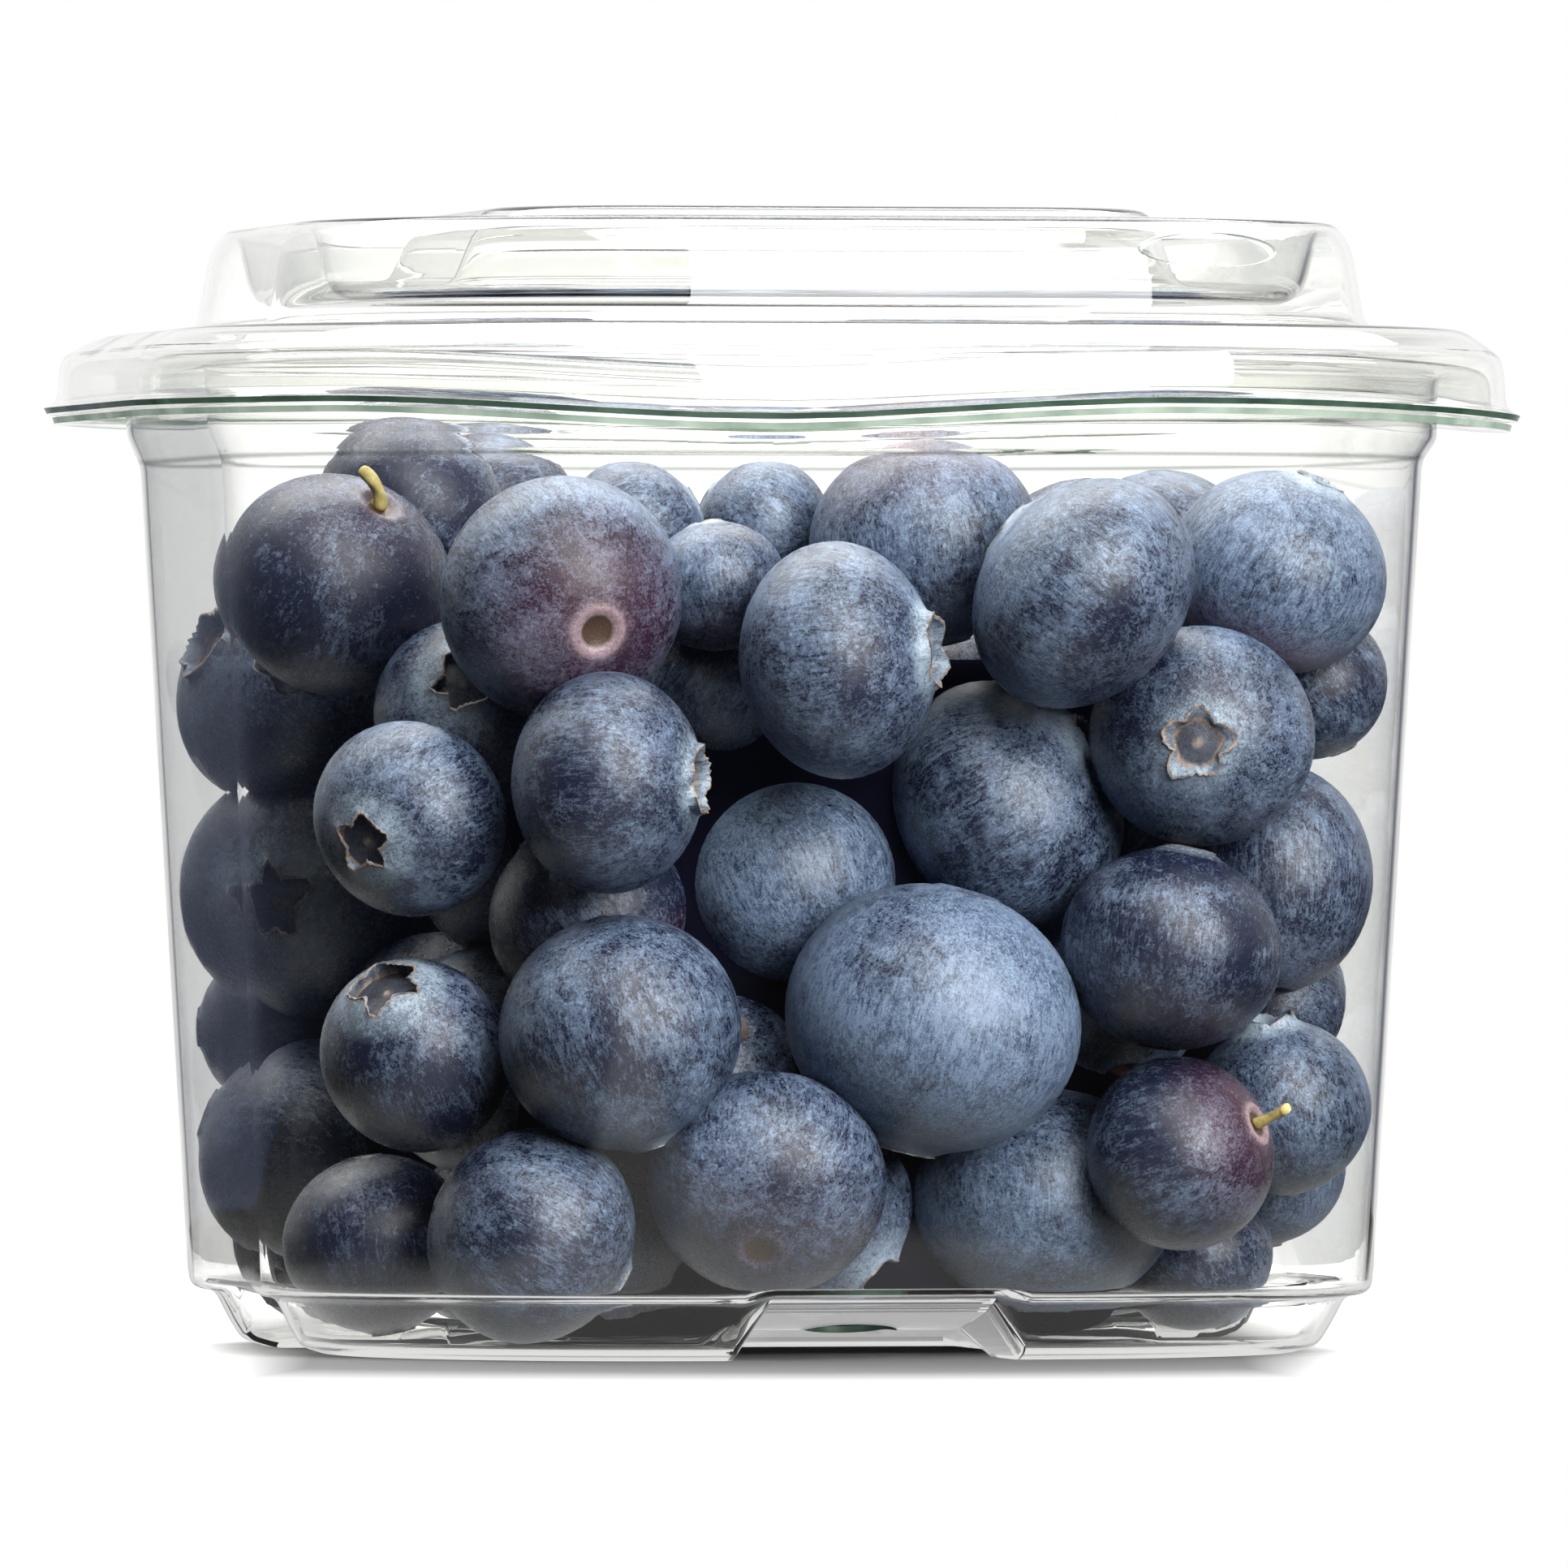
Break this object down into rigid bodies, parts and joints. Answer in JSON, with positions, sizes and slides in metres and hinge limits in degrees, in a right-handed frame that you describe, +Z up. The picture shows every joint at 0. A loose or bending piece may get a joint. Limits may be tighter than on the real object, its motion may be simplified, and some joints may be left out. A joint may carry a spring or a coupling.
{
  "type": "punnet of blueberries",
  "caption": "Clear plastic punnet with rounded corners, standing on low corner feet, filled with a loose heap of blueberries and shut with a clear domed lid.",
  "frame": {"origin": "middle of the base, on the surface it stands on", "axes": "+Z up, the front is -Y, +X to the right of someone facing the front"},
  "size_m": [0.1078, 0.1078, 0.0875],
  "materials": {
    "tub": "clear thermoformed plastic, smooth and glossy, with a faint green tint at the edges",
    "lid": "clear thermoformed plastic, smooth and glossy, with a faint green tint at the edges",
    "berries": "dark blue fruit skin with a patchy pale waxy bloom"
  },
  "bodies": {
    "root": {"tub": "tub", "lid": "lid", "berries": "berries"}
  },
  "joints": []
}
